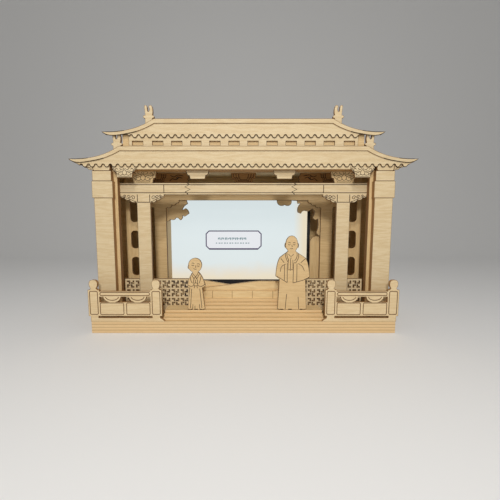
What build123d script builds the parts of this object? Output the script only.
from build123d import *
import math
import os

# A laser-cut plywood model stage in the form of a temple front, with a display screen behind it.
# Flat sheets stand one behind another on a stack of base sheets. Millimetres, +Z up, the front
# faces -Y, and the origin is at the middle of the underside.

# ---- stock and overall sizes ----
SHEET = 5.5            # thickness of one plywood sheet
BASE_WIDTH = 563.0
DEPTH = 196.0
EAVE_HEIGHT = 302.0    # underside of the eave and the soffit, above the shelf
BASE_SHEETS = 4
FIT_GAP = 0.3          # play beside a piece that stands in a slot or on a tread
TOP_BOARD_RISE = 10.0  # from the eave up to the underside of the top board
HALF_WIDTH = BASE_WIDTH / 2

# ---- depths of the layers, measured back from the front of the base ----
BALUSTRADE_SETBACK = 0.4
PORTAL_SETBACK = 22.0       # the plane of the portal pillars, the eave board and the frieze
ROOF_THICKNESS = 2.0        # the roofs are thinner sheets, laid over the portal's plane
RIM_THICKNESS = 1.5         # the overlay along the roofs' ridges and hips
FRIEZE_THICKNESS = 3.0
SCREEN_TO_BACK = 31.0       # from the screen's face to the back of the base
REAR_ARCH_TO_SCREEN = 45.0
WING_TO_REAR_ARCH = 28.0

# ---- steps and stage ----
STEP_RUN = SHEET + 0.8
WIDE_STEPS = 3
NARROW_STEPS = 3
WIDE_STEP_HALF = HALF_WIDTH - 131.5
NARROW_STEP_HALF = HALF_WIDTH - 174.5
NARROW_STEP_REACH = 10.5   # how far the narrow steps run back past the lattice's front
STAGE_FRONT_HEIGHT = 14.6
STAGE_FRONT_TREAD = 4.2
STAGE_JOINTS = (-0.58, -0.215, 0.16, 0.54)   # shares of the half width
HILL_HEIGHT = 33.0

# ---- portal pillars and the jambs behind them ----
SHAFT_WIDTH = 33.3
SHAFT_INSET = 4.8          # from the end of the base to the shaft
BLOCK_OVERHANG = 3.2
SMALL_BLOCK_OVERHANG = 1.6
CAP_INSET = 2.4
CAP_DROP = 2.5             # how far below the eave the cap begins
BLOCK_HEIGHTS = (31.0, 18.5)
PILLAR_TOP_LAP = 14.0
JAMB_WIDTH = 44.0

# ---- front arch ----
BEAM_TO_EAVE = 21.7
BEAM_HEIGHT = 21.8
FRONT_PILLAR_INSET = 88.5   # from the end of the base to the pillar's middle
FRONT_PILLAR_WIDTH = 25.4
BRACE_REACH = 26.5
OUTER_BRACE_REACH = 31.5
BRACE_DROP = 15.8
BEAM_LINE_INSET = 2.8
NECK_LINE_RISE = 0.6

# ---- rear arch ----
REAR_BEAM_TO_TOP = 21.0
REAR_BEAM_HEIGHT = 37.2
REAR_PILLAR_INSET = 97.7
REAR_PILLAR_WIDTH = 26.0
REAR_OUTER_WIDTH = 29.7
REAR_BRACE_REACH = 28.5
REAR_BRACE_DROP = 17.5

# ---- roofs: a ridge end and an eave tip each, out from the middle and up from the eave ----
LOWER_RIDGE = (HALF_WIDTH - 55.5, EAVE_HEIGHT + 40.0)
LOWER_TIP = (HALF_WIDTH + 37.0, EAVE_HEIGHT + 18.0)
UPPER_RIDGE = (HALF_WIDTH - 120.0, EAVE_HEIGHT + 88.0)
UPPER_TIP = (HALF_WIDTH - 26.0, EAVE_HEIGHT + 65.5)
LOWER_EAVE_LINE = EAVE_HEIGHT + 6.6
UPPER_EAVE_LINE = EAVE_HEIGHT + 58.5
LOWER_WAVE_HALF = HALF_WIDTH + 17.75
UPPER_WAVE_HALF = HALF_WIDTH - 75.35
RIDGE_BAND = 7.5
RIM_DROP = 5.8
TIP_THICKNESS = 3.0
WAVE_HEIGHT = 5.2
WAVE_PITCH = 13.3
EAVE_BOARD_HEIGHT = 12.0

# ---- frieze ----
FRIEZE_HALF = HALF_WIDTH - 73.1
FRIEZE_LAP = 12.0      # how far the frieze reaches behind each roof
FRIEZE_BACKING_LAP = 7.0
WINDOW_WIDTH = 20.1
WINDOW_HEIGHT = 8.0
WINDOW_SILL = 2.4
INNER_WINDOWS = 10
END_WINDOW_INSET = 15.6
END_WINDOW_EXTRA = 1.95   # the end windows stand this much further out than an even row
SIDE_BOARD_OVERHANG = 12.6

# ---- finials ----
FINIAL_HEIGHT = 34.0
FINIAL_HALF = 7.4
UPPER_FINIAL_OUT = 9.8    # out from the ridge's end
LOWER_FINIAL_OUT = 5.0
FINIAL_LAP = 9.5

# ---- bracket plates ----
BRACKET_HALF = 20.7
FRONT_BRACKET_HALF = 22.2
BRACKET_HEIGHT = 14.5
FRONT_BRACKET_INSET = 62.5
FRONT_BRACKET_LAP = 9.0
HANGING_BRACKET_LEFT_X = -86.4
HANGING_BRACKET_RIGHT_X = 77.0
COLUMN_BRACKET_HALF = 25.7
REAR_BRACKET_HALF = 27.0
REAR_SIDE_BRACKET_HALF = 21.6
CLOUD_LENGTH = 64.0
CLOUD_HOLE_RADIUS = 2.6
CORNER_BRACKET_LENGTH = 26.0
CORNER_BRACKET_DROP = 15.0

# ---- lattice railings ----
LATTICE_COLUMNS = 7
LATTICE_ROWS = 3
LATTICE_INNER = NARROW_STEP_HALF + 1.2
LATTICE_HEIGHT = 70.7
CELL = 14.0
CELL_BAR = 3.9
FRET_BAR = 1.7
FRET_SLOT = 2.5

# ---- balustrades ----
POST_WIDTH = 20.6
POST_HEIGHT = 59.2
POST_FOOT_INSET = 3.6
OUTER_POST_INSET = 5.9
INNER_POST_GAP = 11.0     # from the wide steps to the inner post's middle
BUD_RADIUS = 7.4
BUD_HEIGHT = 18.6
RAIL_DROP = 2.6
RAIL_HEIGHT = 9.8
GAP_HEIGHT = 10.6
MOON_RADIUS = 15.8
MOON_BAND = 3.4
SLOT_HEIGHT = 3.8
FOOT_HEIGHT = 6.6
DRUM_LENGTH = 9.0

# ---- foliage hangings ----
FOLIAGE_LAP = 12.0
FOLIAGE_EDGE = 4.0

# ---- screen ----
SCREEN_WIDTH = 344.0
SCREEN_HEIGHT = 193.6
SCREEN_X = -21.0
SCREEN_TOP_GAP = 50.0      # from the picture's top edge to the top board
BEZEL = 7.0
SCREEN_CORNER = 4.0
SCREEN_THICKNESS = 12.0
PANEL_THICKNESS = 1.2
SCREEN_FOOT_SHARE = 0.36   # half the foot's width as a share of the screen's
SIDE_PANEL_INNER = 151.2
SIDE_PANEL_WIDTH = 48.0
SIDE_PANEL_HEIGHT = 152.0
SIDE_PANEL_CORNER = 14.0
LINING_GAP = 21.0          # left lining's face, out from the picture's left edge's inner side
LINING_LAP = 8.0

# ---- wing panels: openings as shares of the height between base and top board ----
WING_WIDTH = 44.0
WING_EDGE = 11.0
WING_SLOT_X = 18.0
WING_SLOT_HALF = 9.0
WING_SLOT_CORNER = 8.0
WING_OPENINGS = ((0.634, 0.828), (0.441, 0.572), (0.241, 0.379))

# ---- figures ----
CHILD_X = -91.0
CHILD_HEIGHT = 99.5
CHILD_HEAD = (12.6, 13.6)
ELDER_X = 92.5
ELDER_HEIGHT = 141.5
ELDER_HEAD = (11.2, 15.8)

# ---- engraving ----
GROOVE_WIDTH = 0.9
GROOVE_DEPTH = 0.6
PANEL_LINE_INSET = 2.0

# ---- places worked out from the sizes above ----
BASE_TOP = BASE_SHEETS * SHEET
WALL_HEIGHT = EAVE_HEIGHT + TOP_BOARD_RISE
ROOF_SETBACK = PORTAL_SETBACK - ROOF_THICKNESS
RIM_SETBACK = ROOF_SETBACK - RIM_THICKNESS
HANGING_SETBACK = PORTAL_SETBACK + 2 * SHEET
FRONT_ARCH_SETBACK = PORTAL_SETBACK + 4 * SHEET
LATTICE_SETBACK = FRONT_ARCH_SETBACK + SHEET
SCREEN_SETBACK = DEPTH - SCREEN_TO_BACK
REAR_ARCH_SETBACK = SCREEN_SETBACK - REAR_ARCH_TO_SCREEN
WING_SETBACK = REAR_ARCH_SETBACK - WING_TO_REAR_ARCH
FOLIAGE_SETBACK = REAR_ARCH_SETBACK + SHEET
SIDE_PANEL_SETBACK = FOLIAGE_SETBACK + SHEET
BACK_SETBACK = DEPTH - SHEET
WALL_INNER = HALF_WIDTH - SHEET
SHAFT_OUTER = HALF_WIDTH - SHAFT_INSET
SHAFT_INNER = SHAFT_OUTER - SHAFT_WIDTH
JAMB_INNER = HALF_WIDTH - JAMB_WIDTH
FRONT_PILLAR_X = HALF_WIDTH - FRONT_PILLAR_INSET
REAR_PILLAR_X = HALF_WIDTH - REAR_PILLAR_INSET
FRONT_BRACKET_X = HALF_WIDTH - FRONT_BRACKET_INSET
OUTER_POST_X = HALF_WIDTH - OUTER_POST_INSET
INNER_POST_X = WIDE_STEP_HALF + INNER_POST_GAP
BEAM_TOP = EAVE_HEIGHT - BEAM_TO_EAVE
BEAM_BOTTOM = BEAM_TOP - BEAM_HEIGHT
REAR_BEAM_TOP = WALL_HEIGHT - REAR_BEAM_TO_TOP
REAR_BEAM_BOTTOM = REAR_BEAM_TOP - REAR_BEAM_HEIGHT
SCREEN_BOTTOM = WALL_HEIGHT - SCREEN_TOP_GAP - SCREEN_HEIGHT
LATTICE_TOP = BASE_TOP + LATTICE_HEIGHT
WIDE_TOP = BASE_TOP + WIDE_STEPS * SHEET
STAGE_FLOOR = WIDE_TOP + NARROW_STEPS * SHEET
STAGE_FRONT_SETBACK = (WIDE_STEPS + NARROW_STEPS) * STEP_RUN + STAGE_FRONT_TREAD


def sheet(face, setback, thickness=SHEET):
    """Stands a face drawn in X and Z upright, its front at the given setback."""
    upright = Rot(90, 0, 0) * extrude(face, thickness)
    return Pos(0, setback + thickness - DEPTH / 2, 0) * upright


def block(x0, x1, y0, y1, z0, z1):
    """A plain box between two corners, its Y given as setbacks."""
    return Pos((x0 + x1) / 2, (y0 + y1) / 2 - DEPTH / 2, (z0 + z1) / 2) * Box(x1 - x0, y1 - y0, z1 - z0)


def outline(start, *moves):
    """A closed face from lines, three-point arcs and splines; each move ends where the next begins."""
    edges = []
    here = start
    for kind, *points in moves:
        if kind == "line":
            for point in points:
                edges.append(Line(here, point))
                here = point
        elif kind == "arc":
            edges.append(ThreePointArc(here, points[0], points[1]))
        else:
            edges.append(Spline(here, *points))
        here = points[-1]
    if math.dist(here, start) > 1e-6:
        edges.append(Line(here, start))
    return make_face(edges)


def placed(x, z, side=1):
    """Turns offsets out from a point into places; side mirrors them."""
    return lambda dx, dz: (x + side * dx, z + dz)


def rectangle(x0, x1, z0, z1):
    """A plain rectangular face between two corners."""
    return Pos((x0 + x1) / 2, (z0 + z1) / 2) * Rectangle(abs(x1 - x0), abs(z1 - z0))


def rounded(x0, x1, z0, z1, radius):
    """A rectangle with round corners."""
    return Pos((x0 + x1) / 2, (z0 + z1) / 2) * RectangleRounded(abs(x1 - x0), abs(z1 - z0), radius)


def frame_line(x0, x1, z0, z1, radius):
    """An engraved line round a panel, as a face."""
    inner = rounded(x0 + GROOVE_WIDTH, x1 - GROOVE_WIDTH, z0 + GROOVE_WIDTH, z1 - GROOVE_WIDTH,
                    radius - GROOVE_WIDTH)
    return rounded(x0, x1, z0, z1, radius) - inner


def engrave(part, lines, setback):
    """Cuts faces into a sheet's front as shallow grooves."""
    for line in lines:
        part -= sheet(line, setback, GROOVE_DEPTH)
    return part


def save(name, part):
    """Writes one node."""
    export_step(part, f"parts/{name}.step")


def save_pair(name, face, setback, lines=(), thickness=SHEET):
    """Writes a left piece drawn at negative X, and its mirror image."""
    left = engrave(sheet(face, setback, thickness), lines, setback)
    save(f"{name}_left", left)
    save(f"{name}_right", mirror(left, about=Plane.YZ))


# ---- base, steps and stage ----
def base_and_steps():
    for i in range(BASE_SHEETS):
        bottom = i * SHEET
        save(f"base_sheet_{i + 1}", block(-HALF_WIDTH, HALF_WIDTH, 0, DEPTH, bottom, bottom + SHEET))
    for i in range(WIDE_STEPS + NARROW_STEPS):
        wide = i < WIDE_STEPS
        half = WIDE_STEP_HALF if wide else NARROW_STEP_HALF
        back = LATTICE_SETBACK - FIT_GAP if wide else LATTICE_SETBACK + NARROW_STEP_REACH
        bottom = BASE_TOP + i * SHEET
        save(f"step_sheet_{i + 1}", block(-half, half, (i + 1) * STEP_RUN, back, bottom, bottom + SHEET))
    top = STAGE_FLOOR + STAGE_FRONT_HEIGHT
    face = rectangle(-NARROW_STEP_HALF, NARROW_STEP_HALF, STAGE_FLOOR, top)
    places = [share * NARROW_STEP_HALF for share in STAGE_JOINTS]
    joints = [rectangle(x, x + GROOVE_WIDTH, STAGE_FLOOR, top) for x in places]
    save("stage_front", engrave(sheet(face, STAGE_FRONT_SETBACK), joints, STAGE_FRONT_SETBACK))


def hills():
    """Two low boards with wavy tops, side by side behind the stage front."""
    floor = STAGE_FLOOR
    crest = floor + HILL_HEIGHT
    half = NARROW_STEP_HALF
    left = outline((-half, floor), ("line", (-half, crest)), ("line", (-half * 0.72, crest)),
                   ("spline", (-half * 0.52, crest - 3.4), (-half * 0.28, crest - 7.8), (0, crest - 11.5)),
                   ("line", (0, floor)))
    right = outline((half, floor), ("line", (half, crest)), ("line", (half * 0.3, crest)),
                    ("spline", (half * 0.03, crest - 3.0), (-half * 0.29, crest - 7.4),
                     (-half * 0.55, crest - 10.4), (-half * 0.85, crest - 16.5)),
                    ("line", (-half * 0.85, floor)))
    front = STAGE_FRONT_SETBACK + SHEET
    save("hill_board_front", sheet(right, front))
    save("hill_board_rear", sheet(left, front + SHEET))


# ---- balustrades ----
def bud(x, z):
    """A post's lotus-bud top on its short neck."""
    r = BUD_RADIUS
    h = BUD_HEIGHT
    return outline((x - r, z), ("line", (x - r * 0.62, z + h * 0.16)),
                   ("spline", (x - r, z + h * 0.5), (x - r * 0.86, z + h * 0.86), (x, z + h)),
                   ("spline", (x + r * 0.86, z + h * 0.86), (x + r, z + h * 0.5),
                    (x + r * 0.62, z + h * 0.16)),
                   ("line", (x + r, z)))


def balustrade():
    post_foot = BASE_TOP + FOOT_HEIGHT + SLOT_HEIGHT
    post_top = BASE_TOP + POST_HEIGHT
    half = POST_WIDTH / 2
    outer = -OUTER_POST_X
    inner = -INNER_POST_X
    rail_top = post_top - RAIL_DROP
    rail_bottom = rail_top - RAIL_HEIGHT
    panel_top = rail_bottom - GAP_HEIGHT
    body = rectangle(outer, inner, BASE_TOP, rail_top)
    for x in (outer, inner):
        body += rectangle(x - half, x + half, post_foot, post_top)
        body += rectangle(x - half + POST_FOOT_INSET, x + half - POST_FOOT_INSET, BASE_TOP, post_foot)
        body += bud(x, post_top)
    drum_start = inner + half - 4.0
    body += outline((drum_start, BASE_TOP), ("line", (drum_start, BASE_TOP + FOOT_HEIGHT)),
                    ("spline", (drum_start + DRUM_LENGTH * 0.4, BASE_TOP + FOOT_HEIGHT * 0.72),
                     (drum_start + DRUM_LENGTH, BASE_TOP)))
    x0 = outer + half
    x1 = inner - half
    gap = rectangle(x0, x1, panel_top, rail_bottom)
    middle = (x0 + x1) / 2
    quarter = (x1 - x0) / 4
    for x in (middle - quarter, middle + quarter):
        moon = Pos(x, rail_bottom) * Ellipse(MOON_RADIUS, GAP_HEIGHT + 0.6)
        gap -= moon
    slot_bottom = BASE_TOP + FOOT_HEIGHT
    body -= gap
    body -= rectangle(x0 - 3.0, x1 + 3.0, slot_bottom, slot_bottom + SLOT_HEIGHT)
    lines = []
    for x in (outer, inner):
        lines.append(frame_line(x - half + 2.6, x + half - 2.6, post_foot + 2.6, post_top - 2.0, 3.0))
    for a, b in ((x0, middle - 1.4), (middle + 1.4, x1)):
        lines.append(frame_line(a + 0.8, b - 0.8, post_foot + 2.0, panel_top - 0.8, 2.6))
    lines.append(frame_line(x0 + 1.2, x1 - 1.2, rail_bottom + 1.6, rail_top - 1.4, 2.4))
    for x in (middle - quarter, middle + quarter):
        across = MOON_RADIUS - MOON_BAND
        down = GAP_HEIGHT - MOON_BAND
        big = Ellipse(across, down)
        small = Ellipse(across - GROOVE_WIDTH, down - GROOVE_WIDTH)
        half_plane = rectangle(x - MOON_RADIUS, x + MOON_RADIUS, panel_top, rail_bottom - 0.6)
        lines.append((Pos(x, rail_bottom) * (big - small)) & half_plane)
    save_pair("balustrade", body, BALUSTRADE_SETBACK, lines)


# ---- portal pillars and jambs ----
def portal_pillars():
    outer = -SHAFT_OUTER
    inner = -SHAFT_INNER
    z2 = EAVE_HEIGHT - CAP_DROP
    z1 = z2 - BLOCK_HEIGHTS[1]
    z0 = z1 - BLOCK_HEIGHTS[0]
    top = EAVE_HEIGHT + PILLAR_TOP_LAP
    side = BLOCK_OVERHANG
    face = rectangle(outer, inner, BASE_TOP, z0)
    face += rectangle(outer - side, inner + side * 0.4, z0, z1)
    face += rectangle(outer - SMALL_BLOCK_OVERHANG, inner - 0.6, z1, z2)
    face += rounded(outer + 0.6, inner - CAP_INSET, z2 + 0.4, top + 4.0, 3.0)
    face += rectangle(outer + CAP_INSET, inner - CAP_INSET * 2, z2 - 1.0, top)
    face &= rectangle(outer - side, inner + side, BASE_TOP, top)
    lines = []
    for z in (z0, z1, z2):
        lines.append(rectangle(outer - side, inner + side, z - GROOVE_WIDTH / 2, z + GROOVE_WIDTH / 2))
    save_pair("portal_pillar", face, PORTAL_SETBACK, lines, 2 * SHEET)
    jamb = rectangle(-HALF_WIDTH, -JAMB_INNER, BASE_TOP, EAVE_HEIGHT)
    save_pair("inner_jamb", jamb, PORTAL_SETBACK + 2 * SHEET, (), 2 * SHEET)


# ---- arches ----
def brace(x, z, reach, drop, side):
    """A sparrow brace: its wing hangs below the beam beside a pillar, with a scalloped lower edge."""
    s = side
    return outline((x, z), ("line", (x + s * reach, z)),
                   ("arc", (x + s * reach * 0.97, z - drop * 0.28), (x + s * reach * 0.78, z - drop * 0.34)),
                   ("arc", (x + s * reach * 0.66, z - drop * 0.62), (x + s * reach * 0.45, z - drop * 0.6)),
                   ("arc", (x + s * reach * 0.30, z - drop * 0.92), (x + s * reach * 0.1, z - drop * 0.9)),
                   ("line", (x, z - drop)))


def front_arch():
    face = rectangle(-WALL_INNER, WALL_INNER, BEAM_BOTTOM, BEAM_TOP)
    half = FRONT_PILLAR_WIDTH / 2
    neck = BEAM_BOTTOM - BRACE_DROP + NECK_LINE_RISE
    low_line = BEAM_BOTTOM + BEAM_LINE_INSET
    high_line = BEAM_TOP - BEAM_LINE_INSET - GROOVE_WIDTH
    lines = [rectangle(-WALL_INNER, WALL_INNER, z, z + GROOVE_WIDTH) for z in (low_line, high_line)]
    for side in (-1, 1):
        x = side * FRONT_PILLAR_X
        face += rectangle(x - half, x + half, BASE_TOP, BEAM_BOTTOM)
        face += brace(x - side * half, BEAM_BOTTOM, BRACE_REACH, BRACE_DROP, -side)
        face += brace(x + side * half, BEAM_BOTTOM, OUTER_BRACE_REACH, BRACE_DROP, side)
        panel_end = side * (FRONT_PILLAR_X - half - BRACE_REACH)
        lines.append(rectangle(panel_end, panel_end + GROOVE_WIDTH, low_line + GROOVE_WIDTH, high_line))
        left = x - half + FIT_GAP
        right = x + half - FIT_GAP
        top = BEAM_BOTTOM - FIT_GAP
        neck_frame = rectangle(left, right, neck, top)
        neck_frame -= rectangle(left + GROOVE_WIDTH, right - GROOVE_WIDTH, neck + GROOVE_WIDTH, top)
        lines.append(neck_frame)
    save("front_arch", engrave(sheet(face, FRONT_ARCH_SETBACK), lines, FRONT_ARCH_SETBACK))


def rear_arch():
    face = rectangle(-WALL_INNER, WALL_INNER, REAR_BEAM_BOTTOM, REAR_BEAM_TOP)
    half = REAR_PILLAR_WIDTH / 2
    for side in (-1, 1):
        x = side * REAR_PILLAR_X
        face += rectangle(x - half, x + half, BASE_TOP, REAR_BEAM_BOTTOM)
        outer_edge = HALF_WIDTH - REAR_OUTER_WIDTH
        face += rectangle(side * outer_edge, side * WALL_INNER, BASE_TOP, REAR_BEAM_BOTTOM)
        face += brace(x - side * half, REAR_BEAM_BOTTOM, REAR_BRACE_REACH, REAR_BRACE_DROP, -side)
        face += brace(x + side * half, REAR_BEAM_BOTTOM, REAR_BRACE_REACH * 0.6, REAR_BRACE_DROP, side)
    save("rear_arch", sheet(face, REAR_ARCH_SETBACK))


# ---- roofs ----
def hip(ridge, tip, drop, side):
    """Points of the hanging curve from the ridge's end out to the tip, lowered by drop."""
    run = tip[0] - ridge[0]
    fall = ridge[1] - tip[1]
    points = []
    for share in (0.0, 0.18, 0.38, 0.62, 0.82):
        level = 1 - (1 - share) ** 2.6
        points.append((side * (ridge[0] + run * share), ridge[1] - drop - fall * level * 1.02))
    return points


def roof_rim(ridge, tip):
    """The ridge band and the two hip bands, cut as one overlay."""
    z = ridge[1]
    under = z - RIDGE_BAND
    right = hip(ridge, tip, 0, 1)
    left = hip(ridge, tip, 0, -1)
    foot = hip((ridge[0] - 1.0, under), (tip[0], tip[1] - RIM_DROP), 0, 1)
    below = [(tip[0] - 8.0, tip[1] - TIP_THICKNESS - 1.6)]
    below_left = [(-x, y) for x, y in below]
    foot_left = [(-x, y) for x, y in foot]
    return outline(right[0], ("spline", *right[1:], tip), ("spline", *below, *reversed(foot[:-1])),
                   ("line", foot_left[0]), ("spline", *foot_left[1:-1], *below_left, (-tip[0], tip[1])),
                   ("spline", *reversed(left[1:]), left[0]))


def wave_edge(half, z):
    """A row of alternate round tile ends, from right to left."""
    count = round(2 * half / WAVE_PITCH)
    step = 2 * half / count
    moves = []
    x = half
    for _ in range(count):
        moves.append(("arc", (x - step * 0.29, z - WAVE_HEIGHT / 2), (x - step * 0.58, z)))
        moves.append(("arc", (x - step * 0.79, z + WAVE_HEIGHT / 2), (x - step, z)))
        x -= step
    return moves


def roof_plate(ridge, tip, wave_half, eave_line):
    right = hip(ridge, tip, 0, 1)
    left = hip(ridge, tip, 0, -1)
    under = (tip[0] - 7.0, tip[1] - TIP_THICKNESS - 2.0)
    return outline(right[0], ("spline", *right[1:], tip), ("line", under, (wave_half + 4.0, eave_line + 2.8)),
                   ("line", (wave_half, eave_line)), *wave_edge(wave_half, eave_line),
                   ("line", (-wave_half - 4.0, eave_line + 2.8), (-under[0], under[1]), (-tip[0], tip[1])),
                   ("spline", *reversed(left[1:]), left[0]))


def roofs():
    lower = roof_plate(LOWER_RIDGE, LOWER_TIP, LOWER_WAVE_HALF, LOWER_EAVE_LINE)
    upper = roof_plate(UPPER_RIDGE, UPPER_TIP, UPPER_WAVE_HALF, UPPER_EAVE_LINE)
    save("lower_roof_plate", sheet(lower, ROOF_SETBACK, ROOF_THICKNESS))
    save("upper_roof_plate", sheet(upper, ROOF_SETBACK, ROOF_THICKNESS))
    save("lower_roof_rim", sheet(roof_rim(LOWER_RIDGE, LOWER_TIP), RIM_SETBACK, RIM_THICKNESS))
    save("upper_roof_rim", sheet(roof_rim(UPPER_RIDGE, UPPER_TIP), RIM_SETBACK, RIM_THICKNESS))
    eave_half = FRONT_BRACKET_X - FRONT_BRACKET_HALF - FIT_GAP
    eave_face = rectangle(-eave_half, eave_half, EAVE_HEIGHT, EAVE_HEIGHT + EAVE_BOARD_HEIGHT)
    save("eave_board", sheet(eave_face, PORTAL_SETBACK))
    save("soffit_board", block(-JAMB_INNER - SHEET, JAMB_INNER + SHEET, PORTAL_SETBACK + SHEET,
                               FRONT_ARCH_SETBACK + SHEET, EAVE_HEIGHT, EAVE_HEIGHT + SHEET))


def frieze():
    bottom = LOWER_RIDGE[1] - FRIEZE_LAP
    top = UPPER_EAVE_LINE + FRIEZE_LAP
    face = rectangle(-FRIEZE_HALF, FRIEZE_HALF, bottom, top)
    end = FRIEZE_HALF - END_WINDOW_INSET
    pitch = 2 * (end - END_WINDOW_EXTRA) / (INNER_WINDOWS + 1)
    first = -pitch * (INNER_WINDOWS - 1) / 2
    places = [first + pitch * i for i in range(INNER_WINDOWS)] + [-end, end]
    sill = LOWER_RIDGE[1] + WINDOW_SILL
    for x in places:
        face -= rectangle(x - WINDOW_WIDTH / 2, x + WINDOW_WIDTH / 2, sill, sill + WINDOW_HEIGHT)
    save("frieze_plate", sheet(face, PORTAL_SETBACK, FRIEZE_THICKNESS))
    half = FRIEZE_HALF + SIDE_BOARD_OVERHANG
    backing_top = UPPER_EAVE_LINE + FRIEZE_BACKING_LAP
    backing = rectangle(-half, half, EAVE_HEIGHT + EAVE_BOARD_HEIGHT, backing_top)
    save("frieze_backing", sheet(backing, PORTAL_SETBACK + FRIEZE_THICKNESS))


def finial(x, z):
    """A ridge-end ornament: a straight outer horn and a hooked inner one on a waisted body."""
    w = FINIAL_HALF
    h = FINIAL_HEIGHT
    return outline((x - w * 0.86, z), ("line", (x - w * 0.86, z + h * 0.33), (x - w * 1.3, z + h * 0.38)),
                   ("arc", (x - w * 1.3, z + h * 0.43), (x - w * 0.78, z + h * 0.48)),
                   ("line", (x - w * 0.98, z + h * 0.95)),
                   ("arc", (x - w * 0.7, z + h), (x - w * 0.38, z + h * 0.95)),
                   ("line", (x - w * 0.26, z + h * 0.72)),
                   ("arc", (x - w * 0.04, z + h * 0.67), (x + w * 0.2, z + h * 0.72)),
                   ("arc", (x + w * 0.3, z + h * 0.8), (x + w * 0.12, z + h * 0.9)),
                   ("arc", (x + w * 0.48, z + h), (x + w * 0.86, z + h * 0.93)),
                   ("arc", (x + w * 1.02, z + h * 0.7), (x + w * 0.84, z + h * 0.48)),
                   ("arc", (x + w * 1.32, z + h * 0.43), (x + w * 1.3, z + h * 0.38)),
                   ("line", (x + w * 0.86, z + h * 0.33), (x + w * 0.86, z)))


def finials():
    upper_x = UPPER_RIDGE[0] + UPPER_FINIAL_OUT
    lower_x = LOWER_RIDGE[0] + LOWER_FINIAL_OUT
    save_pair("upper_finial", finial(-upper_x, UPPER_RIDGE[1] - FINIAL_LAP), PORTAL_SETBACK)
    save_pair("lower_finial", finial(-lower_x, LOWER_RIDGE[1] - FINIAL_LAP), PORTAL_SETBACK)


# ---- bracket plates ----
def bracket_face(x, bottom, top, half_top, bottom_share=0.65):
    """A stepped bracket block: narrow foot, a step, and cheeks that spread to the top."""
    foot = half_top * bottom_share
    step = bottom + (top - bottom) * 0.42
    points = []
    for s in (1, -1):
        side = [(x + s * foot, bottom), (x + s * foot * 1.12, step), (x + s * foot * 1.33, step + 0.8),
                (x + s * half_top, top)]
        points.append(side)
    right, left = points
    return outline(left[0], ("line", right[0], right[1], right[2]),
                   ("arc", (x + half_top * 0.97, (step + top) / 2), right[3]),
                   ("line", left[3]), ("arc", (x - half_top * 0.97, (step + top) / 2), left[2]),
                   ("line", left[1], left[0]))


def brackets():
    bottom = EAVE_HEIGHT - BRACKET_HEIGHT
    front_top = EAVE_HEIGHT + FRONT_BRACKET_LAP
    front = bracket_face(-FRONT_BRACKET_X, bottom, front_top, FRONT_BRACKET_HALF, 0.6)
    front &= rectangle(-FRONT_BRACKET_X - FRONT_BRACKET_HALF, -FRONT_BRACKET_X + FRONT_BRACKET_HALF,
                       bottom, front_top)
    save_pair("front_bracket", front, PORTAL_SETBACK)
    low = bottom - 1.0
    for name, x in (("left", HANGING_BRACKET_LEFT_X), ("right", HANGING_BRACKET_RIGHT_X)):
        hanging = bracket_face(x, low, EAVE_HEIGHT, BRACKET_HALF)
        save(f"hanging_bracket_{name}", sheet(hanging, HANGING_SETBACK))
    column = bracket_face(-FRONT_PILLAR_X, BEAM_TOP, EAVE_HEIGHT, COLUMN_BRACKET_HALF, 0.7)
    save_pair("column_bracket", column, FRONT_ARCH_SETBACK)
    rear = bracket_face(-REAR_PILLAR_X - 2.0, REAR_BEAM_TOP, WALL_HEIGHT, REAR_SIDE_BRACKET_HALF, 0.7)
    cloud_left = -REAR_PILLAR_X
    cloud_right = cloud_left + CLOUD_LENGTH
    z = REAR_BEAM_TOP
    top = WALL_HEIGHT
    rear += outline((cloud_left, z), ("line", (cloud_right - 5.0, z), (cloud_right - 3.0, z + 1.0)),
                    ("arc", (cloud_right - 0.8, z + 4.5), (cloud_right - 3.0, z + 8.0)),
                    ("arc", (cloud_right, z + 12.0), (cloud_right - 3.0, z + 15.6)),
                    ("line", (cloud_right - 5.0, top), (cloud_left, top)))
    rear -= Pos(cloud_left + CLOUD_LENGTH * 0.62, z + 11.0) * Circle(CLOUD_HOLE_RADIUS)
    save_pair("rear_bracket", rear, REAR_ARCH_SETBACK)
    save("rear_bracket_middle", sheet(bracket_face(0, REAR_BEAM_TOP, WALL_HEIGHT, REAR_BRACKET_HALF, 0.7),
                                      REAR_ARCH_SETBACK))
    x1 = -SHAFT_OUTER - FIT_GAP
    x0 = x1 - CORNER_BRACKET_LENGTH
    z0 = EAVE_HEIGHT - 3.0
    top = z0 + CORNER_BRACKET_DROP + 3.0
    span = CORNER_BRACKET_LENGTH
    corner = outline((x1, z0 + 0.6), ("line", (x1, top), (x0 - 2.0, top), (x0, top - 3.6)),
                     ("arc", (x0 + span * 0.16, top - 7.6), (x0 + span * 0.32, top - 7.4)),
                     ("arc", (x0 + span * 0.44, top - 11.6), (x0 + span * 0.62, top - 11.0)),
                     ("arc", (x0 + span * 0.74, top - 15.4), (x0 + span * 0.9, top - 15.2)),
                     ("line", (x1, z0 + 0.6)))
    save_pair("corner_bracket", corner, PORTAL_SETBACK)


# ---- lattice railings ----
def fret_cell(x, z):
    """Four L-shaped slots turning round a cell's centre; x, z is its lower left corner."""
    q = (CELL - FRET_BAR) / 2
    slots = []
    elbow = rectangle(0, q, q - FRET_SLOT, q) + rectangle(q - FRET_SLOT, q, 0, q)
    for i in range(4):
        turned = Rot(0, 0, -90 * i) * (Pos(-CELL / 2, FRET_BAR / 2) * elbow)
        slots.append(Pos(x + CELL / 2, z + CELL / 2) * turned)
    return slots


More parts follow.
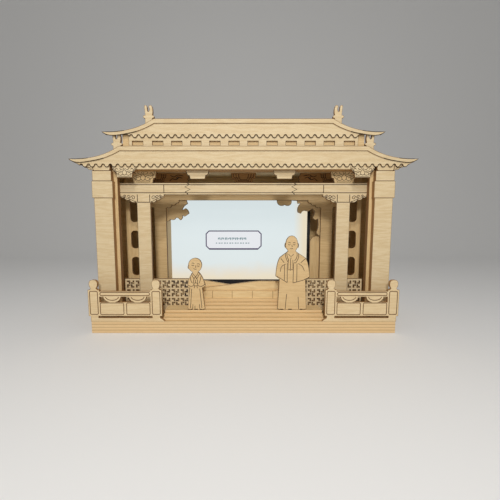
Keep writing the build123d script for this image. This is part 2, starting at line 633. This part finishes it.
def lattices():
    pitch = CELL + CELL_BAR
    width = LATTICE_COLUMNS * pitch + CELL_BAR
    rows_height = LATTICE_ROWS * pitch + CELL_BAR
    for name, x0 in (("left", -LATTICE_INNER - width), ("right", LATTICE_INNER)):
        face = rectangle(x0, x0 + width, BASE_TOP, LATTICE_TOP)
        slots = []
        for i in range(LATTICE_COLUMNS):
            for j in range(LATTICE_ROWS):
                cell_x = x0 + CELL_BAR + i * pitch
                cell_z = LATTICE_TOP - rows_height + CELL_BAR + j * pitch
                slots.extend(fret_cell(cell_x, cell_z))
        face -= slots
        save(f"lattice_rail_{name}", sheet(face, LATTICE_SETBACK))


# ---- foliage ----
def foliage():
    """Leaf-edged hangings behind the rear beam; offsets run in from the pillar and up from the beam."""
    lap = FOLIAGE_LAP
    edge = REAR_PILLAR_X - FOLIAGE_EDGE
    p = placed(-edge, REAR_BEAM_BOTTOM)
    left = outline(p(0, lap), ("line", p(55.8, lap), p(53.4, -0.8), p(55.8, -7.3)),
                   ("arc", p(48.8, -11.8), p(43.0, -21.6)), ("line", p(51.6, -17.4)),
                   ("arc", p(56.8, -22.8), p(58.4, -28.8)), ("line", p(48.3, -35.4), p(43.8, -32.2)),
                   ("arc", p(43.3, -38.8), p(38.8, -43.4)), ("line", p(33.8, -38.4), p(28.8, -38.2)),
                   ("arc", p(23.8, -42.8), p(16.8, -41.0)), ("arc", p(11.8, -45.8), p(0.0, -39.8)))
    save("foliage_left", sheet(left, FOLIAGE_SETBACK))
    p = placed(edge, REAR_BEAM_BOTTOM, -1)
    right = outline(p(0, lap), ("line", p(107.8, lap), p(105.3, 0.2)),
                    ("arc", p(97.8, -11.3), p(87.8, -9.3)), ("arc", p(78.8, -11.3), p(73.8, 0.2)),
                    ("line", p(60.3, -0.8), p(59.6, -6.8), p(52.4, -6.6)),
                    ("arc", p(58.2, -13.8), p(58.5, -26.4)), ("line", p(51.8, -29.0)),
                    ("arc", p(47.8, -23.4), p(40.8, -23.2)), ("line", p(35.8, -24.0), p(26.8, -18.8)),
                    ("arc", p(21.4, -25.2), p(22.4, -31.8)),
                    ("line", p(25.0, -38.8), p(19.0, -43.2), p(14.4, -40.2)),
                    ("arc", p(12.8, -57.8), p(16.4, -69.8)), ("arc", p(11.2, -77.8), p(-0.0, -75.8)))
    save("foliage_right", sheet(right, FOLIAGE_SETBACK))


# ---- screen, its lining and the boards round it ----
def screen_parts():
    x0 = SCREEN_X - SCREEN_WIDTH / 2
    x1 = SCREEN_X + SCREEN_WIDTH / 2
    z1 = SCREEN_BOTTOM + SCREEN_HEIGHT
    case = rounded(x0 - BEZEL, x1 + BEZEL, SCREEN_BOTTOM - BEZEL, z1 + BEZEL, SCREEN_CORNER)
    picture = rectangle(x0, x1, SCREEN_BOTTOM, z1)
    housing = sheet(case, SCREEN_SETBACK, SCREEN_THICKNESS)
    housing -= sheet(picture, SCREEN_SETBACK, PANEL_THICKNESS)
    foot_half = SCREEN_WIDTH * SCREEN_FOOT_SHARE
    housing += block(SCREEN_X - foot_half, SCREEN_X + foot_half, SCREEN_SETBACK,
                     SCREEN_SETBACK + SCREEN_THICKNESS, BASE_TOP, SCREEN_BOTTOM - BEZEL)
    save("screen_housing", housing)
    save("screen_picture", sheet(picture, SCREEN_SETBACK, PANEL_THICKNESS))
    inner = SIDE_PANEL_INNER
    outer = inner + SIDE_PANEL_WIDTH
    top = BASE_TOP + SIDE_PANEL_HEIGHT
    corner = SIDE_PANEL_CORNER
    bite = corner * (1 - math.sqrt(0.5))
    side = outline((inner, BASE_TOP), ("line", (inner, top - corner)),
                   ("arc", (inner + bite, top - bite), (inner + corner, top)),
                   ("line", (outer, top), (outer, BASE_TOP)))
    save("side_panel_right", sheet(side, SIDE_PANEL_SETBACK))
    lining = x0 + LINING_GAP
    save("screen_lining_left", block(lining - SHEET, lining, SIDE_PANEL_SETBACK, SCREEN_SETBACK - FIT_GAP,
                                     BASE_TOP, REAR_BEAM_BOTTOM + LINING_LAP))


def wing_panels():
    """Tall inner panels with a column of round-ended openings."""
    x1 = -FRONT_PILLAR_X - WING_EDGE
    x0 = x1 - WING_WIDTH
    face = rectangle(x0, x1, BASE_TOP, WALL_HEIGHT)
    middle = x0 + WING_SLOT_X
    height = WALL_HEIGHT - BASE_TOP
    for low, high in WING_OPENINGS:
        face -= rounded(middle - WING_SLOT_HALF, middle + WING_SLOT_HALF, BASE_TOP + low * height,
                        BASE_TOP + high * height, WING_SLOT_CORNER)
    save_pair("wing_panel", face, WING_SETBACK)


def walls():
    half = HALF_WIDTH
    front = FRONT_ARCH_SETBACK
    save("side_wall_left", block(-half, -half + SHEET, front, BACK_SETBACK, BASE_TOP, WALL_HEIGHT))
    save("side_wall_right", block(half - SHEET, half, front, BACK_SETBACK, BASE_TOP, WALL_HEIGHT))
    save("back_board", block(-half, half, BACK_SETBACK, DEPTH, BASE_TOP, WALL_HEIGHT))
    save("top_board", block(-half, half, PORTAL_SETBACK + 2 * SHEET, DEPTH, WALL_HEIGHT, WALL_HEIGHT + SHEET))


# ---- figures ----
def figures():
    setback = WIDE_STEPS * STEP_RUN + FIT_GAP
    z = WIDE_TOP
    x = CHILD_X
    h = CHILD_HEIGHT
    robe = outline((x - 15.4, z + 1.6), ("line", (x - 10.6, z + h * 0.425), (x - 14.8, z + h * 0.44)),
                   ("spline", (x - 14.2, z + h * 0.52), (x - 10.4, z + h * 0.64), (x - 6.8, z + h * 0.705)),
                   ("line", (x - 3.4, z + h * 0.75), (x + 4.0, z + h * 0.75), (x + 8.6, z + h * 0.70)),
                   ("spline", (x + 13.4, z + h * 0.62), (x + 17.0, z + h * 0.52), (x + 18.6, z + h * 0.47)),
                   ("line", (x + 12.4, z + h * 0.425), (x + 17.2, z + 1.8)),
                   ("line", (x + 11.0, z + 0.6), (x + 7.0, z), (x - 7.0, z), (x - 10.0, z + 0.6)),
                   ("line", (x - 15.4, z + 1.6)))
    head = Pos(x - 0.4, z + h - CHILD_HEAD[1]) * (Rot(0, 0, -8) * Ellipse(*CHILD_HEAD))
    head += Pos(x - 11.6, z + h - 17.2) * Ellipse(2.4, 3.6)
    save("child_figure", sheet(robe + head, setback))
    x = ELDER_X
    h = ELDER_HEIGHT
    robe = outline((x - 27.4, z + 1.8), ("line", (x - 24.2, z + h * 0.42), (x - 31.6, z + h * 0.46)),
                   ("spline", (x - 30.2, z + h * 0.56), (x - 27.2, z + h * 0.66), (x - 24.6, z + h * 0.705)),
                   ("spline", (x - 18.0, z + h * 0.745), (x - 12.0, z + h * 0.775), (x - 8.0, z + h * 0.80)),
                   ("line", (x + 5.0, z + h * 0.80)),
                   ("spline", (x + 10.0, z + h * 0.77), (x + 18.0, z + h * 0.735), (x + 25.8, z + h * 0.69)),
                   ("spline", (x + 29.2, z + h * 0.62), (x + 31.4, z + h * 0.53), (x + 32.8, z + h * 0.45)),
                   ("line", (x + 24.6, z + h * 0.42), (x + 27.4, z + 1.8)),
                   ("line", (x + 20.0, z + 0.7), (x + 14.0, z), (x - 14.0, z), (x - 20.0, z + 0.7)),
                   ("line", (x - 27.4, z + 1.8)))
    head = Pos(x - 2.0, z + h - ELDER_HEAD[1]) * Ellipse(*ELDER_HEAD)
    for side in (-1, 1):
        head += Pos(x - 2.0 + side * 11.0, z + h - 18.2) * Ellipse(1.9, 4.8)
    save("elder_figure", sheet(robe + head, setback))


os.makedirs("parts", exist_ok=True)
base_and_steps()
hills()
balustrade()
portal_pillars()
front_arch()
rear_arch()
roofs()
frieze()
finials()
brackets()
lattices()
foliage()
screen_parts()
wing_panels()
walls()
figures()
